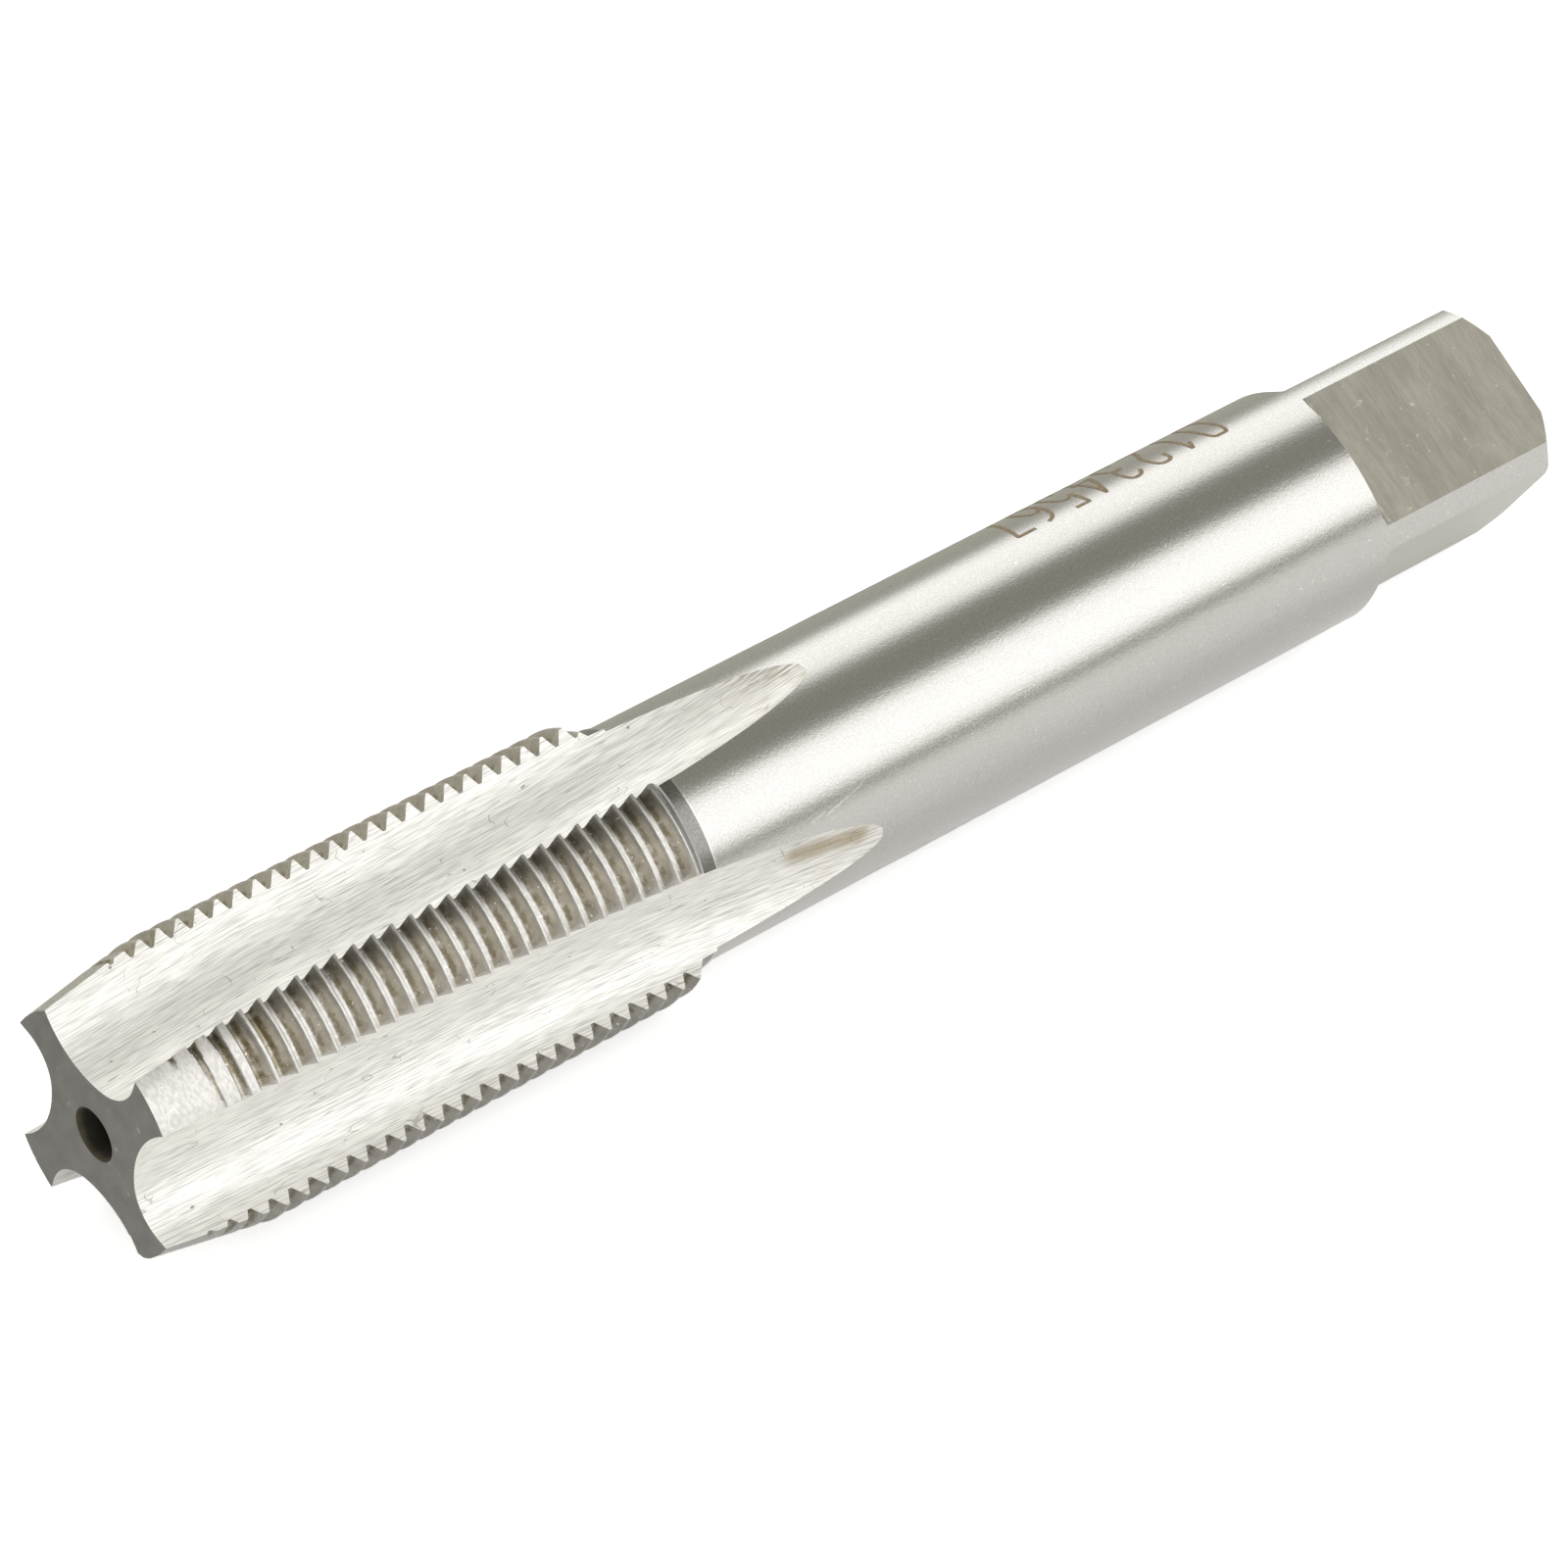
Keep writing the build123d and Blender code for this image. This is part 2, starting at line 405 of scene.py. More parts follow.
def fluted_grid(p):
    """The fluted length as a grid: rows along the axis, columns around it. Each quarter has a back wall, a
    hook and a land. Returns x, radius, angle, the groove's depth as a share, the count of turns along the
    thread, and the way across the flute's wall, which stays the same along a stroke of the grinding wheel.
    """
    rows = Rows(p)
    middles = [FIRST_LAND + (flute + 0.5) * QUARTER for flute in range(FLUTES)]
    laps = [0, 0, 0, 1]
    backs, hooks, parts = [], [], []
    for i, middle in enumerate(middles):
        backs.append(flute_edge(p, rows, "back", middle, 0, BACK_SEED + 2 * i, HEELS[i]))
        hooks.append(flute_edge(p, rows, "hook", middle, laps[i], HOOK_SEED + 2 * i, CUTTING))
    for i in range(FLUTES):
        (xb, sb, _), (xh, sh, phi_hook) = backs[i], hooks[i]
        x_wall = xb + (xh - xb) * np.arange(FLUTE_COLUMNS) / FLUTE_COLUMNS
        fall = 1 - np.arange(BACK_COLUMNS) / BACK_COLUMNS
        rise = np.arange(HOOK_COLUMNS) / HOOK_COLUMNS
        back_wall = flute_point(p, "back", sb * fall, x_wall[:, :BACK_COLUMNS])
        hook_wall = flute_point(p, "hook", sh * rise, x_wall[:, BACK_COLUMNS:])
        wall = [np.hstack(pair) for pair in zip(back_wall, hook_wall)]
        phi_wall = middles[i] - np.arctan2(*wall)
        r_wall = np.hypot(*wall)
        way_wall = np.hstack([sb * fall * p.back, -sh * rise * p.hook]) + i * FLUTE_APART

        phi_next = backs[(i + 1) % FLUTES][2] + 2 * math.pi * laps[i]
        over = np.arange(LAND_COLUMNS) / LAND_COLUMNS
        phi_land = phi_hook + (phi_next - phi_hook) * over
        shift = thread_shift(p, phi_land, laps[i])
        x_land = rows.along(shift)
        heel = CUTTING + (HEELS[(i + 1) % FLUTES] - CUTTING) * (1 - (1 - over) ** 4)
        r_land = rows.radius(x_land, shift, heel)
        depth = (outline_radius(p, x_land) - r_land) / p.depth
        turns = rows.turns_at(x_land, shift)
        x_land[:, :1] = xh
        r_land[:, :1] = np.hypot(*flute_point(p, "hook", sh, xh))
        way = (np.clip(x_land / p.pitch, 0, None) * 2 * math.pi + phi_land) * p.major / 2
        nicks = wander(way, NICK_STEPS[0], NICK_SEED) + 0.6 * wander(way, NICK_STEPS[1], NICK_SEED + 1)
        dent = np.clip(nicks - NICK_LEVEL, 0, None) * (depth < CREST_SHARE) * (x_land < p.collar_start)
        r_land[:, 1:] -= dent[:, 1:] * NICK_DEPTH
        none = np.zeros_like(r_wall)
        way_land = i * FLUTE_APART - sh * p.hook + np.zeros_like(depth)
        parts.append((x_wall, r_wall, phi_wall, none, none, way_wall))
        parts.append((x_land, r_land, phi_land, depth, turns, way_land))
    return [np.hstack(stack) for stack in zip(*parts)]


def square_layout(p, radius):
    """Angles of the columns on the driving end, for a radius: the corner strips take a few columns and the
    flats the others. Returns the angle, and the angle from the flat's normal or nan on a corner strip.
    """
    half = math.acos(p.flats / 2 / radius)
    column = np.arange(QUARTER_COLUMNS)
    corner = (column / CORNER_COLUMNS * 2 - 1) * (QUARTER / 2 - half)
    flat = half * (2 * (column - CORNER_COLUMNS) / (QUARTER_COLUMNS - CORNER_COLUMNS) - 1)
    on_flat = column > CORNER_COLUMNS
    local = np.where(on_flat, QUARTER / 2 + flat, corner)
    first = p.square_turn + QUARTER / 2 + QUARTER
    phi = (first + QUARTER * np.arange(FLUTES)[:, None] + local).ravel()
    return phi, np.tile(np.where(on_flat, flat, np.nan), FLUTES)


def shoulder_x(p, height):
    """x on the square's shoulder at a height from the axis: a leaning line, then an arc of the foot radius
    that runs into the flat.
    """
    level = p.flats / 2
    base = TAP_HIGH.x - p.square
    slope = math.tan(p.shoulder_lean)
    arc_x = base - slope * p.foot + p.foot / math.cos(p.shoulder_lean)
    meets = level + p.foot * (1 - math.sin(p.shoulder_lean))
    line = base - slope * (height - level)
    arc = arc_x - np.sqrt(np.clip(p.foot**2 - (level + p.foot - height) ** 2, 0, None))
    return np.where(height > meets, line, arc), arc_x


def square_ring(p, x, radius):
    """One ring of the square, whose corners reach a radius: x, radius and angle."""
    phi, lean = square_layout(p, radius)
    flat = p.flats / 2 / np.cos(np.nan_to_num(lean))
    return np.full_like(phi, x), np.where(np.isnan(lean), radius, flat), phi


def shank_grid(p, phi_start):
    """The plain shank and the square as a grid, up to the end face: x, radius and angle."""
    radius = p.shank / 2
    tip = flute_tip(p)
    end = TAP_HIGH.x
    phi_end, lean = square_layout(p, radius)
    on_flat = ~np.isnan(lean)
    cosine = np.cos(np.nan_to_num(lean))
    top = np.where(on_flat, radius * cosine, p.flats / 2)
    x_edge, x_flat = shoulder_x(p, top)
    x_corner = x_flat - 0.6 * p.foot
    x_edge = np.where(on_flat, x_edge, x_corner)

    part = np.linspace(0, 1, SHANK_ROWS + 1)[:, None] ** 1.7
    first = tip + 2 * TIP_GAP
    x = first + (x_edge - first) * part
    ease = np.clip((x - tip) / TWIST_LENGTH, 0, 1)
    ease = ease * ease * (3 - 2 * ease)
    rings = [(x, np.full_like(x, radius), phi_start + (phi_end - phi_start) * ease)]

    fall = (1 - steps(FOOT_ROWS)[:, None]) ** 2
    height = p.flats / 2 + (top - p.flats / 2) * fall
    x_foot = np.where(on_flat, shoulder_x(p, height)[0], x_corner + (x_flat - x_corner) * (1 - fall))
    rings.append((x_foot, np.where(on_flat, height / cosine, radius), np.tile(phi_end, (FOOT_ROWS, 1))))

    for share in steps(FLAT_ROWS):
        rings.append(square_ring(p, x_flat + (end - p.end_chamfer - x_flat) * share, radius))
    for share in steps(CHAMFER_ROWS):
        rings.append(square_ring(p, end - p.end_chamfer * (1 - share), radius - p.end_chamfer * share))
    return [np.vstack(stack) for stack in zip(*rings)]


def grid_faces(rows, columns, first=0, flip=False, closed=True):
    """Quads of a grid, which is closed around its columns or left open."""
    i, j = np.meshgrid(np.arange(rows - 1), np.arange(columns if closed else columns - 1), indexing="ij")
    k = (j + 1) % columns
    quads = np.stack([i * columns + j, i * columns + k, (i + 1) * columns + k, (i + 1) * columns + j], -1)
    quads = quads.reshape(-1, 4) + first
    return quads[:, ::-1] if flip else quads


def centre_hole(p, first, x_face, inward, painted_band_light=0.0, columns=48):
    """A centre hole: a cone, a drilled length and its flat end, turned about the axis. A worn mouth is
    narrower by twice the wear, and off the axis by the wear, toward the first land. Returns its vertices, its
    quads, the fan that closes it, and the indices of its mouth.
    """
    cone = (p.mouth - p.drill) / 2 / math.tan(HALF_ANGLE)
    depth = np.array([0, HOLE_EDGE, cone, cone + HOLE_EDGE, p.drill_depth - HOLE_EDGE, p.drill_depth])
    below_mouth = p.mouth - 2 * HOLE_EDGE * math.tan(HALF_ANGLE)
    radius = np.array([p.mouth, below_mouth, p.drill, p.drill, p.drill, p.drill - HOLE_EDGE]) / 2
    phi = np.arange(columns) * 2 * math.pi / columns
    x = np.repeat((x_face + inward * depth)[:, None], columns, 1)
    toward = np.cos(phi - FIRST_LAND) - 1
    fade = np.clip(1 - depth / cone, 0, 1)[:, None] * painted_band_light
    y = radius[:, None] * np.cos(phi) - fade * toward * math.cos(FIRST_LAND)
    z = radius[:, None] * np.sin(phi) - fade * toward * math.sin(FIRST_LAND)
    points = np.stack([x, y, z], -1).reshape(-1, 3)
    pole = np.array([[x_face + inward * p.drill_depth, 0, 0]])
    flip = inward > 0
    quads = grid_faces(len(depth), columns, first, flip)
    last = first + (len(depth) - 1) * columns
    around = np.arange(columns)
    fan = np.stack([last + around, last + (around + 1) % columns, np.full(columns, first + len(points))], -1)
    return np.vstack([points, pole]), quads, fan[:, ::-1] if flip else fan, first + around


def fill_face(mesh, outer, inner, direction):
    """Fills the flat face between an outline and the mouth of its centre hole."""
    shape = bmesh.new()
    shape.from_mesh(mesh)
    shape.verts.ensure_lookup_table()
    edges = []
    for loop in (outer, inner):
        for a, b in zip(loop, np.roll(loop, -1)):
            pair = (shape.verts[int(a)], shape.verts[int(b)])
            edges.append(shape.edges.get(pair) or shape.edges.new(pair))
    made = bmesh.ops.triangle_fill(shape, use_beauty=True, use_dissolve=False, edges=edges)
    for face in (item for item in made["geom"] if isinstance(item, bmesh.types.BMFace)):
        face.normal_update()
        if face.normal.x * direction < 0:
            face.normal_flip()
        face.material_index = FACE if direction < 0 else SHANK
    shape.to_mesh(mesh)
    shape.free()


def tap_mesh(p):
    """The whole tap as one closed mesh, with the groove's depth, the turns of the thread and the way across
    each flute held in attributes.
    """
    x1, r1, phi1, depth, turns, way = fluted_grid(p)
    last = np.unwrap(phi1[-1])
    x2, r2, phi2 = shank_grid(p, last)
    x, radius, phi = np.vstack([x1, x2]), np.vstack([r1, r2]), np.vstack([phi1, phi2])
    painted_band_light = np.exp(-(((phi1 - CORNER_AT) / CORNER_SPREAD) ** 2)) * np.clip(1 - x1 / CORNER_LENGTH, 0, 1) ** 2
    radius[: len(x1)] -= CORNER_WEAR * painted_band_light * (r1 > CORNER_FROM)
    points = np.stack([x, radius * np.cos(phi), radius * np.sin(phi)], -1)
    rows, columns = x.shape
    quads = grid_faces(rows, columns)
    column = np.arange(columns) % QUARTER_COLUMNS
    kinds = np.full((rows - 1, columns), SHANK)
    threaded = (x1[:-1] < p.collar_start - 1e-6).any(1).nonzero()[0].max() + 1
    kinds[:threaded] = LAND
    kinds[: len(x1) - 1][:, column < FLUTE_COLUMNS] = FLUTE
    flat_rows = np.arange(rows - 1) >= len(x1) + SHANK_ROWS
    kinds[np.ix_(flat_rows, column >= CORNER_COLUMNS)] = SQUARE
    kinds[-CHAMFER_ROWS:][:, column < CORNER_COLUMNS] = SHANK

    points = points.reshape(-1, 3)
    front, front_quads, front_fan, front_mouth = centre_hole(p, len(points), 0.0, 1, p.mouth_wear)
    points = np.vstack([points, front])
    rear, rear_quads, rear_fan, rear_mouth = centre_hole(p, len(points), TAP_HIGH.x, -1)
    points = np.vstack([points, rear])
    all_quads = np.vstack([quads, front_quads, rear_quads])
    faces = all_quads.tolist() + front_fan.tolist() + rear_fan.tolist()
    kinds = np.concatenate([kinds.ravel(), np.full(len(faces) - len(quads), HOLE)])

    mesh = new_mesh("tap_body", points, faces)
    mesh.polygons.foreach_set("material_index", kinds.astype(np.int32))
    for name, values in (("groove_depth", np.clip(depth, 0, 1)), ("thread_turns", turns), ("flute_way", way)):
        held = np.zeros(len(points), np.float32)
        held[: values.size] = values.ravel()
        mesh.attributes.new(name, "FLOAT", "POINT").data.foreach_set("value", held)
    fill_face(mesh, np.arange(columns), front_mouth, -1)
    fill_face(mesh, (rows - 1) * columns + np.arange(columns), rear_mouth, 1)
    mesh.update()
    mesh.shade_smooth()
    mesh.set_sharp_from_angle(angle=CRISP_ANGLE)
    smooth_shank(mesh, columns, len(x1), Rows(p).threaded + len(COLLAR_ROWS))
    return mesh


def smooth_shank(mesh, columns, fluted, first):
    """Makes the flutes' outlines crisp, and turns the normals of the plain shank straight away from the axis.
    The shank's own round starts at the first row, and the flutes' rows are fluted in number.
    """
    row, column = np.divmod(read(mesh.edges, "vertices", 2), columns)
    column = column % QUARTER_COLUMNS
    body = (row < fluted).all(1)
    outline = body & ((column == 0).all(1) | (column == FLUTE_COLUMNS).all(1))
    tip = (row == fluted - 1).all(1) & (column <= FLUTE_COLUMNS).all(1)
    sharp = mesh.attributes["sharp_edge"].data
    sharp.foreach_set("value", read(sharp, "value", kind=bool) | outline | tip)

    spots = read(mesh.vertices, "co", 3, float)[read(mesh.loops, "vertex_index")]
    face = np.repeat(np.arange(len(mesh.polygons)), read(mesh.polygons, "loop_total"))
    kinds = read(mesh.polygons, "material_index")
    face_row = face // columns
    plain = (face_row >= first) & (face_row < fluted + SHANK_ROWS) & (kinds[face] == SHANK)
    away = spots * (0, 1, 1) / np.linalg.norm(spots[:, 1:] + 1e-9, axis=1)[:, None]
    mesh.normals_split_custom_set((away * plain[:, None]).tolist())


# ---------------------------------------------------------------- etched digits


# Corners of each digit's line, from 0 to 1 over its width and height
DIGITS = {
    "0": [
        *[(0.5, 1), (0.12, 1), (0, 0.8), (0, 0.5), (0, 0.2), (0.12, 0), (0.5, 0)],
        *[(0.88, 0), (1, 0.2), (1, 0.5), (1, 0.8), (0.88, 1), (0.5, 1)],
    ],
    "1": [(0.2, 0.78), (0.2, 0.78), (0.55, 1), (0.55, 1), (0.55, 0), (0.55, 0)],
    "2": [(0.05, 0.75), (0.1, 1), (0.9, 1), (1, 0.62), (0.6, 0.4), (0, 0), (0, 0), (1, 0), (1, 0)],
    "3": [
        *[(0.05, 0.85), (0.3, 1), (0.95, 1), (0.95, 0.56), (0.4, 0.55)],
        *[(0.4, 0.53), (1, 0.5), (1, 0), (0.25, 0), (0.0, 0.15)],
    ],
    "4": [(0.75, 0), (0.75, 0), (0.75, 1), (0.75, 1), (0, 0.3), (0, 0.3), (1, 0.3), (1, 0.3)],
    "5": [
        *[(0.9, 1), (0.9, 1), (0.15, 1), (0.15, 1), (0.08, 0.55), (0.08, 0.55)],
        *[(0.6, 0.7), (1, 0.5), (0.95, 0), (0.3, 0), (0.02, 0.12)],
    ],
    "6": [
        *[(0.85, 1), (0.3, 0.9), (0, 0.45), (0.05, 0), (0.5, 0)],
        *[(1, 0.02), (1, 0.55), (0.4, 0.62), (0.05, 0.4)],
    ],
    "7": [(0, 1), (0, 1), (1, 1), (1, 1), (0.3, 0), (0.3, 0)],
}


def stroke_path(points):
    """A stroke smoothed by cutting its corners four times; a doubled point stays sharp."""
    path = np.array(points, float)
    for _ in range(4):
        near = path[:-1] * 0.75 + path[1:] * 0.25
        far = path[:-1] * 0.25 + path[1:] * 0.75
        path = np.vstack([path[:1], np.stack([near, far], 1).reshape(-1, 2), path[-1:]])
    keep = np.concatenate([[True], np.hypot(*np.diff(path, axis=0).T) > 1e-4])
    return path[keep]


def digits_mesh(p, sizes):
    """The row of digits: each is a flat ribbon laid on the shank, its two edges half the line's width to
    either side of the path. The row reads toward the front, with the digits' tops toward the near side.
    """
    points, faces = [], []
    total = 0
    room = (p.end - p.start) / len(p.row)
    radius = sizes.shank / 2
    for place, digit in enumerate(p.row):
        path = stroke_path(DIGITS[digit]) * (room * p.fill, p.height)
        side = np.gradient(path, axis=0)
        side = np.stack([-side[:, 1], side[:, 0]], -1) / np.hypot(*side.T)[:, None]
        edges = path[:, None, :] + side[:, None, :] * np.array([-0.5, 0, 0.5])[None, :, None] * p.line
        along = p.end - room * place - edges[..., 0]
        phi = FIRST_LAND - p.around + (edges[..., 1] - p.height / 2) / radius
        away = radius + p.lift
        points.append(np.stack([along, away * np.cos(phi), away * np.sin(phi)], -1).reshape(-1, 3))
        faces.append(grid_faces(len(path), 3, total, closed=False))
        total += len(points[-1])
    return new_mesh("etched_digits", np.vstack(points), np.vstack(faces).tolist())


# ---------------------------------------------------------------- finishes


class Recipe:
    """Builds the nodes of a material or a world, one step at a time."""

    def __init__(self, name, library="materials", output="OutputMaterial", place="Object"):
        self.owner = getattr(bpy.data, library).new(name)
        self.owner.use_nodes = True
        self.tree = self.owner.node_tree
        self.tree.nodes.clear()
        self.out = self.node(output)
        self.place = self.node("TexCoord").outputs[place]
        self.colour = None

    def node(self, kind, inputs=None, **settings):
        """Adds a node with its settings, and feeds its inputs from other sockets or plain values."""
        made = self.tree.nodes.new("ShaderNode" + kind)
        for name, value in settings.items():
            setattr(made, name, value)
        for name, value in (inputs or {}).items():
            self.link(value, made.inputs[name])
        return made

    def link(self, value, socket):
        """Feeds a socket from another socket or a plain value."""
        if isinstance(value, bpy.types.NodeSocket):
            self.tree.links.new(value, socket)
        elif socket.type == "RGBA":
            socket.default_value = (*value, 1.0)
        else:
            socket.default_value = value

    def close(self, shader):
        """Makes a shader the result, and gives back what owns the nodes."""
        self.link(shader.outputs[0], self.out.inputs["Surface"])
        return self.owner

    def attribute(self, name):
        """A number held in the mesh."""
        return self.node("Attribute", attribute_name=name).outputs["Fac"]

    def axes(self):
        """x, y and z of the place."""
        node = self.node("SeparateXYZ", {"Vector": self.place})
        return tuple(node.outputs[axis] for axis in "XYZ")

    def noise(self, scale, stretch=(1, 1, 1), detail=2.0, roughness=0.55, distortion=0.0, place=None):
        """Noise over the piece, or over a place of its own, with features 1/scale metres wide, stretched
        along each axis.
        """
        scales = [scale / part for part in stretch]
        mapped = self.node("Mapping", {"Vector": place or self.place, "Scale": scales}).outputs["Vector"]
        looks = {"Detail": detail, "Roughness": roughness, "Distortion": distortion}
        return self.node("TexNoise", {"Vector": mapped, "Scale": 1.0, **looks}).outputs["Fac"]

    def ramp(self, value, low, high, bottom=0.0, top=1.0):
        """Goes from bottom to top, with an ease, as value goes from low to high."""
        inputs = {"Value": value, "From Min": low, "From Max": high, "To Min": bottom, "To Max": top}
        return self.node("MapRange", inputs, interpolation_type="SMOOTHSTEP").outputs["Result"]

    def fall(self, value, low, high):
        """Goes from one to nought, with an ease, as value goes from low to high."""
        return self.ramp(value, low, high, 1.0, 0.0)

    def maths(self, kind, a, b=0.0):
        """One step of arithmetic."""
        return self.node("Math", {0: a, 1: b}, operation=kind).outputs[0]

    plus = functools.partialmethod(maths, "ADD")
    less = functools.partialmethod(maths, "SUBTRACT")
    most = functools.partialmethod(maths, "MAXIMUM")

    def times(self, *parts):
        """Two or more numbers multiplied."""
        return functools.reduce(functools.partial(self.maths, "MULTIPLY"), parts)

    def mix(self, share, a, b, blend="MIX"):
        """Mixes two colours."""
        inputs = {"Factor": share, "A": a, "B": b}
        return self.node("Mix", inputs, data_type="RGBA", blend_type=blend).outputs["Result"]

    def over(self, colour, *masks):
        """Lays a colour over the material's own, as much as the masks multiplied say."""
        self.colour = self.mix(self.times(*masks), self.colour, colour)

    def shade(self, factor):
        """Multiplies the material's colour by a number."""
        grey = self.node("CombineColor", dict.fromkeys(("Red", "Green", "Blue"), factor))
        self.colour = self.mix(1.0, self.colour, grey.outputs["Color"], "MULTIPLY")

    def grain(self, tone, low, high, base, dark, pale):
        """A base colour made darker and paler by a tone, as the tone goes from low to high."""
        return self.mix(self.ramp(tone, low, high), scaled(base, dark), scaled(base, pale))

    def hairs(self, tone, width):
        """Fine curved lines, where a tone is within a width of its middle."""
        return self.fall(self.maths("ABSOLUTE", self.less(tone, 0.5)), HAIR_CORE, width)

    def stroke(self, u, v, start, end, half, soft):
        """One along a straight line between two points of a plane, and nought from half its width and a soft
        edge away from it. Millimetres.
        """
        du, dv = (end[0] - start[0]) * MM, (end[1] - start[1]) * MM
        size = du * du + dv * dv
        pu, pv = self.less(u, start[0] * MM), self.less(v, start[1] * MM)
        t = self.plus(self.times(pu, du / size), self.times(pv, dv / size))
        t = self.maths("MINIMUM", self.most(t, 0.0), 1.0)
        off_u, off_v = self.less(pu, self.times(t, du)), self.less(pv, self.times(t, dv))
        away = self.maths("SQRT", self.plus(self.times(off_u, off_u), self.times(off_v, off_v)))
        return self.fall(away, half * MM, (half + soft) * MM)

    def bump(self, height, depth, strength):
        """Small relief, its depth in millimetres."""
        inputs = {"Height": height, "Distance": depth * MM, "Strength": strength}
        return self.node("Bump", inputs).outputs["Normal"]

    def steel(self, roughness, metallic=1.0, **inputs):
        """Finishes the material as metal."""
        inputs.update({"Base Color": self.colour, "Roughness": roughness, "Metallic": metallic})
        return self.close(self.node("BsdfPrincipled", inputs))


def scaled(colour, factor):
    """A colour made lighter or darker."""
    return tuple(min(1.0, part * factor) for part in colour)


# Half the width of a hair mark's core, as a share of its noise
HAIR_CORE = 0.002

# Marks on the steel as strokes, in millimetres. Each has its two ends, half its width and its soft edge, over
# x and z on the near side or x and y on the upper side.
LOW_STAIN = ((41.8, 0.55), (45.8, 0.15), 0.02, 1.0)
HIGH_STAIN = ((44.6, 1.2), (46.6, -0.1), 0.15, 1.3)
LONG_SCRATCH = ((43.83, 2.39), (46.41, 2.96), 0.01, 0.07)
SHORT_SCRATCH = ((42.66, 2.36), (43.66, 2.59), 0.01, 0.05)

# Where the near side begins in y and the upper side in z, and where the tan of the runout grows in x
NEAR_WALL = (-5 * MM, -4 * MM)
NEAR_SHANK = (-5.6 * MM, -5.2 * MM)
UPPER_WALL = (4 * MM, 5 * MM)
TAN_RUN = (37 * MM, 46 * MM)

# Bands of painted light and shade across the near land, as heights above its middle: painted shade under it,
# painted light above it, and a streak of painted shade in the grooves between
UNDER_SHADE_BAND = (-6.5 * MM, -4.5 * MM)
ABOVE_LIGHT_BAND = (4.5 * MM, 6.5 * MM)
GROOVE_SHADE_RISE = (0.6 * MM, 2.4 * MM)
GROOVE_SHADE_FALL = (3.0 * MM, 4.5 * MM)


def flute_steel(f):
    """Pale ground walls with fine scratches along the flute, dark pits, and brown at the flutes' tips."""
    r = Recipe("ground_flute")
    x, y, z = r.axes()
    ground = r.node("CombineXYZ", {"X": x, "Y": r.attribute("flute_way")}).outputs["Vector"]
    streak = r.noise(14000, (70, 1, 1), 2.0, 0.65, 0.1, ground)
    fine = r.noise(20000, (35, 1, 1), 1.0, 0.6, 0.15, ground)
    both = r.plus(streak, fine)
    r.colour = r.grain(both, 0.74, 1.16, f.flute, 0.70, 1.08)
    dark_lines = r.noise(9000, (26, 1, 1), 2.0, 0.7, 0.7, ground)
    r.over(f.scratch, r.ramp(dark_lines, 0.63, 0.70), 0.5)
    r.shade(r.ramp(r.noise(700, (4, 1, 1), 3.0, 0.6), 0.35, 0.65, 0.95, 1.0))
    r.over(f.pit, r.ramp(r.noise(2300, (1.6, 1, 1), 1.0, 0.5), 0.78, 0.81), 0.7)

    hatch = r.noise(9000, (20, 1, 1), 2.0, 0.7, 0.5, ground)
    low_tip = r.times(r.fall(y, *NEAR_WALL), r.stroke(x, z, *LOW_STAIN))
    r.over(f.low_stain, low_tip, r.ramp(hatch, 0.25, 0.6, 0.6, 1.0), 0.85)
    high_tip = r.times(r.ramp(z, *UPPER_WALL), r.stroke(x, y, *HIGH_STAIN))
    r.over(f.high_stain, high_tip, r.ramp(hatch, 0.42, 0.62), 0.65)
    r.over(f.tan, r.ramp(x, *TAN_RUN), r.ramp(hatch, 0.45, 0.7), 0.45)
    some = r.ramp(r.noise(650, detail=1.0), 0.60, 0.64)
    r.over(f.hair, r.hairs(r.noise(800, (1.5, 1, 1), 1.0), 0.012), some, 0.5)

    # Brushed along the axis, it spreads light around the axis
    normal = r.node("NewGeometry").outputs["Normal"]
    across = r.node("VectorMath", {0: normal, 1: (1, 0, 0)}, operation="CROSS_PRODUCT")
    brushed = {"Anisotropic": 0.6, "Tangent": across.outputs["Vector"]}
    return r.steel(0.5, Normal=r.bump(both, 0.012, 0.5), **brushed)


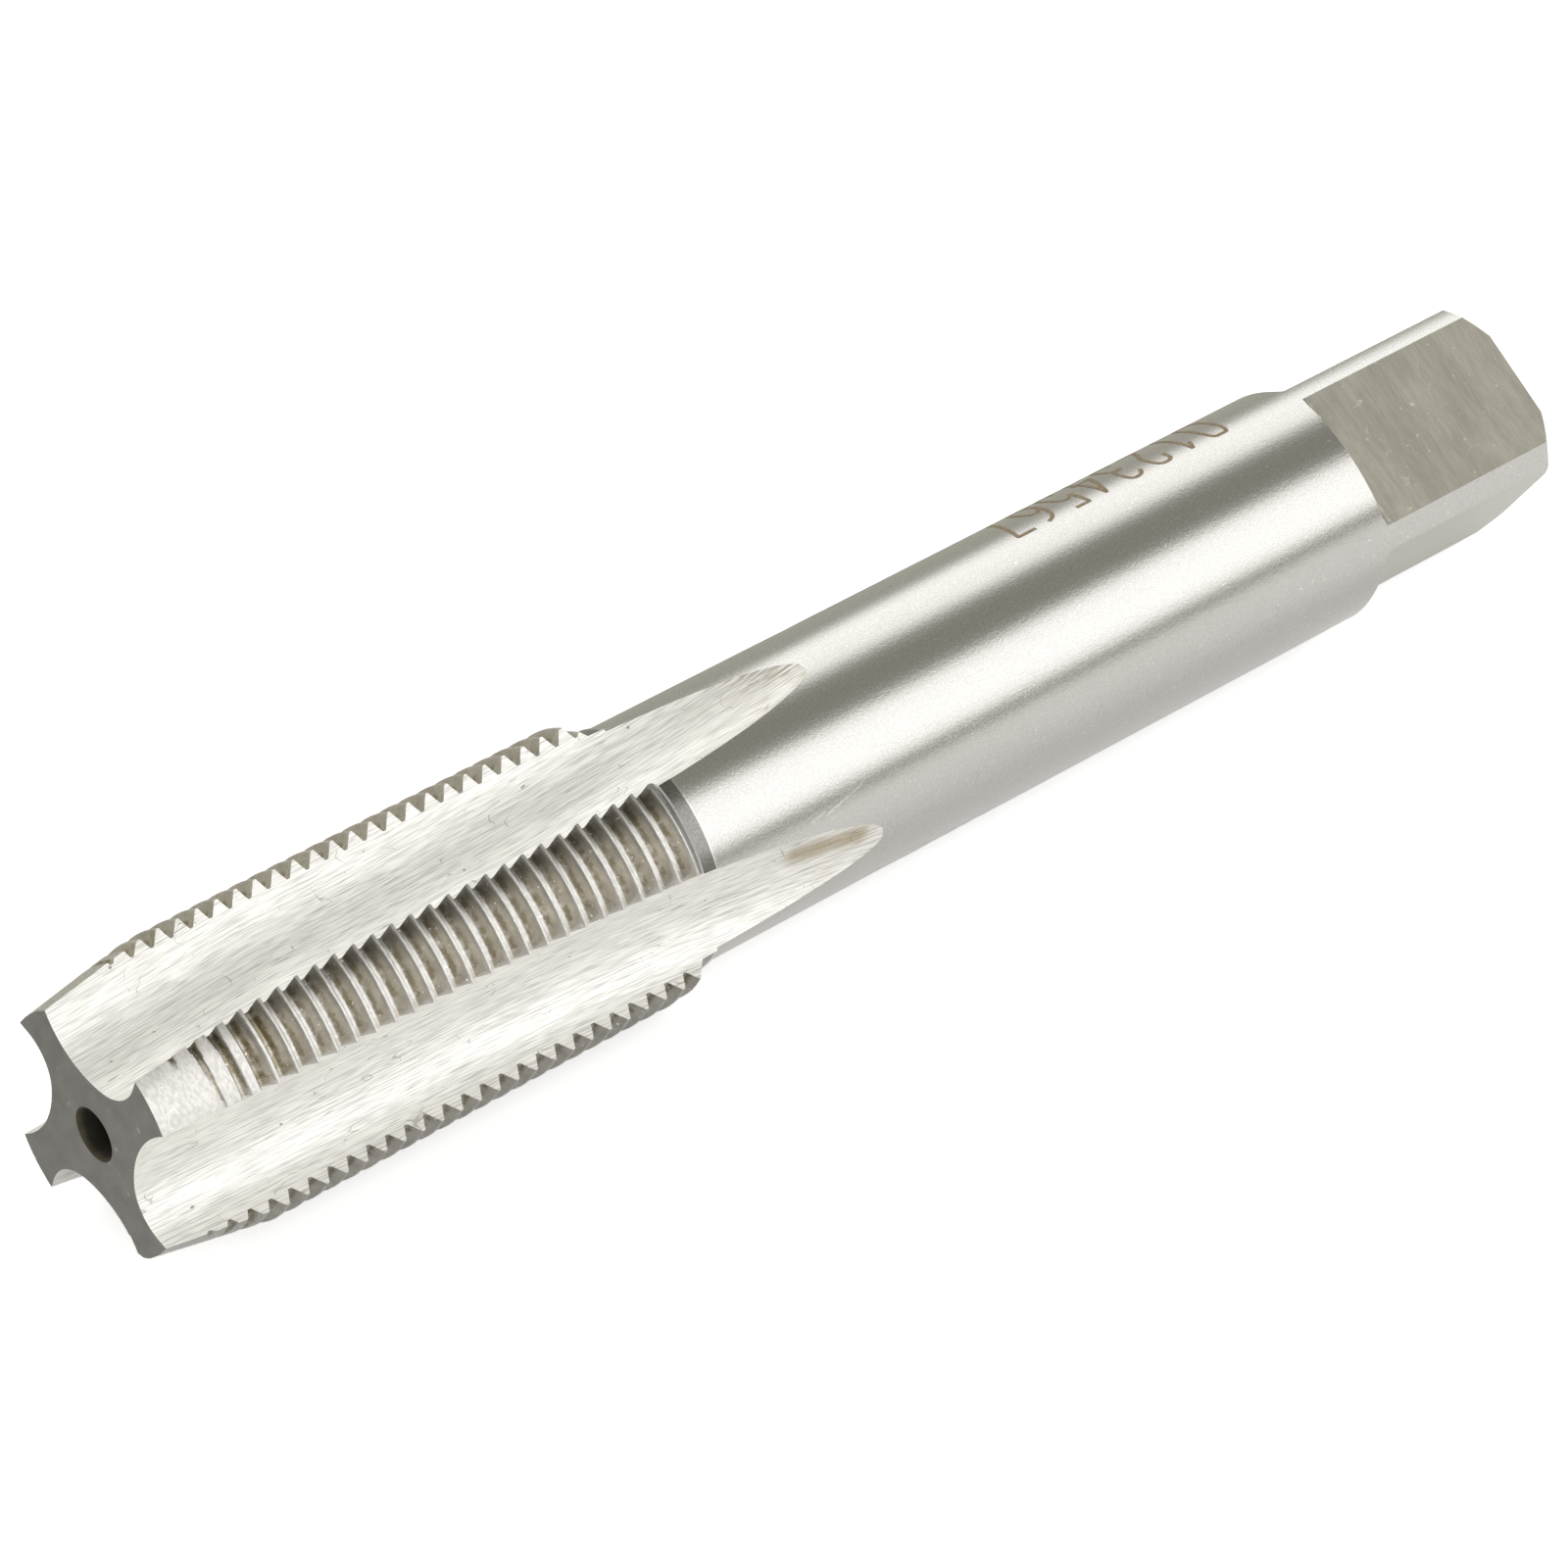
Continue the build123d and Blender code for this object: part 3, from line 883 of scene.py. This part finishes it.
def land_steel(f, p):
    """Bright uneven crests, and grey-brown flanks with an olive line beside each crest; light and shade
    painted in bands by height, and painted glints.
    """
    r = Recipe("thread_land")
    x, y, z = r.axes()
    depth = r.attribute("groove_depth")
    loose = r.less(r.noise(5200, roughness=0.6), 0.5)
    inside = r.ramp(r.plus(depth, r.times(loose, 0.08)), 0.03, 0.08)
    crest = r.grain(r.noise(6500, (1, 2, 2), 3.0), 0.35, 0.65, f.land, 0.82, 1.02)
    flank = r.grain(r.noise(1100, (1, 1, 1), 3.0, 0.6), 0.3, 0.7, f.groove, 0.86, 1.12)
    r.colour = r.mix(inside, crest, flank)

    # A groove's bottom is bright behind the lead, with old oil beside it
    turn = r.maths("FRACT", r.attribute("thread_turns"))
    past = r.plus(turn, r.times(loose, 0.16))
    before = r.ramp(turn, 0.80, 0.82)
    behind_lead = r.ramp(x, p.lead + 0.1 * MM, p.lead + 1.7 * MM)
    bright = r.times(r.most(r.fall(past, 0.07, 0.12), before), behind_lead, inside)
    r.over(crest, bright)
    beside = r.times(r.most(r.fall(past, 0.18, 0.27), before), inside, r.less(1.0, bright))
    r.over(f.olive, beside, r.ramp(r.noise(1900, detail=3.0), 0.36, 0.56), 0.75)

    # Painted light and shade by height: the near land darker below its middle and lighter above, with painted
    # shade in its grooves between
    up = r.times(r.plus(y, z), math.sqrt(0.5))
    painted_band_light = r.times(r.ramp(up, *UNDER_SHADE_BAND, 0.78, 1.0), r.ramp(up, *ABOVE_LIGHT_BAND, 1.0, 1.25))
    painted_groove_shade = r.times(r.ramp(up, *GROOVE_SHADE_RISE), r.fall(up, *GROOVE_SHADE_FALL), inside, 0.3)
    r.shade(r.times(painted_band_light, r.less(1.0, painted_groove_shade)))
    # Painted glints: bright specks over the thread
    r.over(f.painted_glint, r.ramp(r.noise(4200, detail=1.0), 0.74, 0.77))
    chamfer = r.ramp(x, p.thread_end + 0.3 * MM, p.thread_end + 0.6 * MM)
    r.over(f.chamfer, chamfer, 0.8)
    rough = r.most(r.ramp(depth, 0.05, 0.3, 0.34, 0.24), r.times(chamfer, 0.6))
    return r.steel(rough, Normal=r.bump(r.noise(12000), 0.01, 0.5))


def shank_steel(f, p):
    """Satin steel with a fine sparkling grain; the collar behind the thread is greyer, with a bright rim."""
    r = Recipe("satin_shank")
    x, y, z = r.axes()
    tone = r.noise(13000, (1.5, 1, 1), 2.0, 0.75)
    coarse = r.noise(5200, (1.6, 1, 1), 2.0, 0.7, 0.6)
    r.colour = r.grain(tone, 0.3, 0.7, f.shank, 0.88, 1.08)
    r.over(scaled(f.shank, 1.3), r.ramp(r.noise(5200, (1.4, 1, 1), 1.0), 0.73, 0.76))
    collar = r.fall(x, p.collar_end - 0.1 * MM, p.collar_end - 0.04 * MM)
    r.over(r.mix(r.ramp(tone, 0.35, 0.65), f.collar_dark, f.collar_pale), collar, 0.9)
    rim = r.ramp(x, p.collar_end - 0.22 * MM, p.collar_end - 0.14 * MM)
    r.over(scaled(f.shank, 1.2), rim, collar)
    scratch = r.most(r.stroke(x, z, *SHORT_SCRATCH), r.stroke(x, z, *LONG_SCRATCH))
    r.over(f.shank_scratch, scratch, r.ramp(tone, 0.3, 0.6, 0.3, 0.7), r.fall(y, *NEAR_SHANK))
    return r.steel(0.2, Normal=r.bump(r.plus(tone, coarse), 0.009, 0.6))


def square_steel(f, p):
    """Milled flats: faint lines across the square, small bright nicks, and a few curved scratches; the flat
    that faces down and near gets painted light.
    """
    r = Recipe("milled_square")
    x, y, z = r.axes()
    both = r.plus(r.noise(2600, (1, 14, 14), 3.0, 0.6), r.noise(6000, (1, 5, 5), 2.0, 0.6))
    r.colour = r.grain(both, 0.70, 1.25, f.square, 0.92, 1.06)
    r.shade(r.ramp(r.noise(420, (1, 2, 2)), 0.35, 0.7, 0.90, 1.06))
    r.over(scaled(f.square, 1.38), r.ramp(r.noise(2600, detail=1.5), 0.70, 0.74))
    # Painted light: the flat that faces down and near is painted paler
    low_normal = p.square_turn + math.pi
    low = r.plus(r.times(y, math.cos(low_normal)), r.times(z, math.sin(low_normal)))
    r.over(f.painted_light_flat, r.ramp(low, p.flats / 2 - 0.4 * MM, p.flats / 2 - 0.1 * MM))

    # Curved scratches, and a ragged bright fringe along the shoulder
    some = r.ramp(r.noise(700, detail=1.0), 0.58, 0.63)
    curve = r.times(r.hairs(r.noise(520, detail=0.0), 0.009), some, 0.28)
    shoulder = TAP_HIGH.x - p.square
    ragged = r.plus(x, r.times(r.noise(3400), 0.5 * MM))
    fringe = r.fall(ragged, shoulder + 0.5 * MM, shoulder + 0.75 * MM)
    fringe = r.times(fringe, r.ramp(x, shoulder + 0.05 * MM, shoulder + 0.2 * MM), 0.7)
    r.over(scaled(f.square, 1.7), r.most(curve, fringe))
    return r.steel(0.48, Normal=r.bump(both, 0.004, 0.5))


def face_steel(f):
    """Dull, dark ground face."""
    r = Recipe("dull_face")
    r.colour = r.grain(r.noise(900, detail=3.0), 0.3, 0.7, f.face, 0.9, 1.1)
    r.over(scaled(f.face, 2.2), r.ramp(r.noise(1700, detail=1.0), 0.72, 0.76), 0.6)
    return r.steel(0.6, 0.3, Normal=r.bump(r.noise(9000), 0.004, 0.4))


def hole_shade_steel(f):
    """Painted shade in the centre hole: brown at its mouth, nearly black deeper in."""
    r = Recipe("centre_hole")
    ragged = r.plus(r.axes()[0], r.times(r.noise(1500), 0.5 * MM))
    # Painted shade: nearly black from a little way in, brown near the mouth
    r.colour = r.mix(r.ramp(ragged, 0.25 * MM, 0.7 * MM), f.hole_mouth_shade, f.hole)
    return r.steel(0.6, 0.2)


def etched_steel(f):
    """Brown line of the etched digits."""
    r = Recipe("etched_line")
    r.colour = r.grain(r.noise(6000), 0.3, 0.7, f.etch, 0.8, 1.3)
    return r.steel(0.6, 0.2)


# ---------------------------------------------------------------- stage


# Brightness of the studio around the tap's axis, by the angle in degrees from the near land's direction: near
# lamp, dark gap overhead, far lamp
STUDIO = [
    *[(-180, 1.2), (-50, 1.2), (-43, 0.32), (-38, 0.32)],
    *[(-29, 1.62), (-14, 1.80), (14, 1.67), (26, 0.33), (61, 0.33)],
    *[(76, 1.52), (106, 1.64), (121, 0.47), (180, 0.47)],
]
BRIGHTEST = 1.9

# Tint of the studio's dark gaps, and how it darkens toward the tap's ends
DARK_TINT = (1.0, 0.98, 0.81)
END_START, END_FULL = 0.74, 0.97
END_BRIGHTNESS = 0.45

# Where the floor behind the tap begins in a mirrored view, and the floor's own light for the camera and for
# steel
FLOOR_BEHIND = 30 * MM
SEEN_GLOW = 0.5
MIRRORED_GLOW = 0.1


def floor_paint(stage):
    """A pale floor that shows white in the picture and keeps the tap's shadow."""
    r = Recipe("pale_floor")
    path = r.node("LightPath").outputs
    behind = r.ramp(r.axes()[1], 0.0, FLOOR_BEHIND)
    seen_in_steel = r.times(path["Is Glossy Ray"], behind)
    diffuse = r.node("BsdfDiffuse", {"Color": r.mix(seen_in_steel, stage.floor, stage.floor_mirrored)})
    front = r.times(path["Is Glossy Ray"], r.less(1.0, behind))
    strength = r.plus(r.times(path["Is Camera Ray"], SEEN_GLOW), r.times(front, MIRRORED_GLOW))
    glow = r.node("Emission", {"Strength": strength})
    return r.close(r.node("AddShader", {0: diffuse.outputs[0], 1: glow.outputs[0]}))


def studio_world():
    """Soft studio light: long lamps beside and above the tap, darker toward both of its ends, and white where
    the camera looks past the floor.
    """
    r = Recipe("studio", "worlds", "OutputWorld", "Generated")
    x, y, z = r.axes()
    turned = r.maths("ARCTAN2", r.plus(y, z), r.less(z, y))
    around = r.node("ValToRGB", {"Fac": r.plus(r.maths("DIVIDE", turned, 2 * math.pi), 0.5)})
    around.color_ramp.interpolation = "EASE"
    stops = around.color_ramp.elements
    for degrees, _ in STUDIO[1:-1]:
        stops.new(degrees / 360 + 0.5)
    for stop, (degrees, bright) in zip(stops, STUDIO):
        stop.position = degrees / 360 + 0.5
        level = bright / BRIGHTEST
        stop.color = (*(level * (1 - (1 - level) * (1 - tint)) for tint in DARK_TINT), 1.0)
    ends = r.ramp(r.maths("ABSOLUTE", x), END_START, END_FULL, BRIGHTEST, END_BRIGHTNESS)
    lit = r.node("Background", {"Color": around.outputs["Color"], "Strength": ends})
    plain = r.node("Background", {"Color": (1, 1, 1)})
    camera = r.node("LightPath").outputs["Is Camera Ray"]
    return r.close(r.node("MixShader", {0: camera, 1: lit.outputs[0], 2: plain.outputs[0]}))


# ---------------------------------------------------------------- operators


def link_object(name, data):
    """Puts an object with its mesh or camera in the scene."""
    made = bpy.data.objects.new(name, data)
    bpy.context.scene.collection.objects.link(made)
    return made


def put(name, mesh, materials):
    """Links a finished mesh as a piece that rides with the tap."""
    piece = link_object(name, mesh)
    for material in materials:
        mesh.materials.append(material)
    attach(piece, "root")
    return piece


class TAP_OT_body(bpy.types.Operator):
    """Builds the tap's body: flutes, thread, shank, square and centre holes"""

    bl_idname = "thread_tap.body"
    bl_label = "Build the tap"

    def execute(self, context):
        sizes, finish = context.scene.tap_sizes, context.scene.tap_finish
        sized = [make(finish, sizes) for make in (land_steel, shank_steel, square_steel)]
        materials = [flute_steel(finish), *sized, face_steel(finish), hole_shade_steel(finish)]
        piece = put("tap_body", tap_mesh(sizes), materials)
        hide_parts("tap")
        return {"FINISHED"}


class TAP_OT_digits(bpy.types.Operator):
    """Lays the row of etched digits on the shank"""

    bl_idname = "thread_tap.digits"
    bl_label = "Etch the digits"

    def execute(self, context):
        scene = context.scene
        put("etched_digits", digits_mesh(scene.tap_digits, scene.tap_sizes), [etched_steel(scene.tap_finish)])
        return {"FINISHED"}


class TAP_OT_stage(bpy.types.Operator):
    """Builds the camera, the floor and the light"""

    bl_idname = "thread_tap.stage"
    bl_label = "Build the stage"

    def execute(self, context):
        scene, stage = context.scene, context.scene.tap_stage
        half, low = stage.floor_size / 2, TAP_LOW.z
        corners = [(-half, -half, low), (half, -half, low), (half, half, low), (-half, half, low)]
        mesh = new_mesh("floor", corners, [(0, 1, 2, 3)])
        mesh.materials.append(floor_paint(stage))
        floor = link_object("floor", mesh)

        data = bpy.data.cameras.new("camera")
        data.lens = stage.lens
        data.sensor_width = 36.0
        data.clip_start, data.clip_end = 0.01, 20.0
        camera = link_object("camera", data)
        camera.location = stage.camera
        camera.rotation_euler = stage.camera_turn
        scene.camera = camera
        scene.world = studio_world()
        scene.view_settings.view_transform = "Standard"
        return {"FINISHED"}


class TAP_PT_panel(bpy.types.Panel):
    """Lists the steps that build the tap"""

    bl_idname = "TAP_PT_panel"
    bl_label = "Thread tap"
    bl_space_type = "VIEW_3D"
    bl_region_type = "UI"
    bl_category = "Tap"

    def draw(self, context):
        for step in STEPS:
            self.layout.operator(step.bl_idname)
        for group in GROUPS:
            box = self.layout.box()
            for name in group.__annotations__:
                box.prop(getattr(context.scene, GROUPS[group]), name)


STEPS = (TAP_OT_body, TAP_OT_digits, TAP_OT_stage)
GROUPS = {TapSizes: "tap_sizes", TapFinish: "tap_finish", TapDigits: "tap_digits", TapStage: "tap_stage"}
CLASSES = (*GROUPS, *STEPS, TAP_PT_panel)


def register():
    """Registers the classes and the settings."""
    for item in CLASSES:
        bpy.utils.register_class(item)
    for group, name in GROUPS.items():
        setattr(bpy.types.Scene, name, PointerProperty(type=group))


def unregister():
    """Removes the settings and the classes."""
    for name in GROUPS.values():
        delattr(bpy.types.Scene, name)
    for item in reversed(CLASSES):
        bpy.utils.unregister_class(item)


def main():
    """Builds everything in order."""
    register()
    bpy.ops.thread_tap.body()
    bpy.ops.thread_tap.digits()
    bpy.ops.thread_tap.stage()


if __name__ == "__main__":
    main()
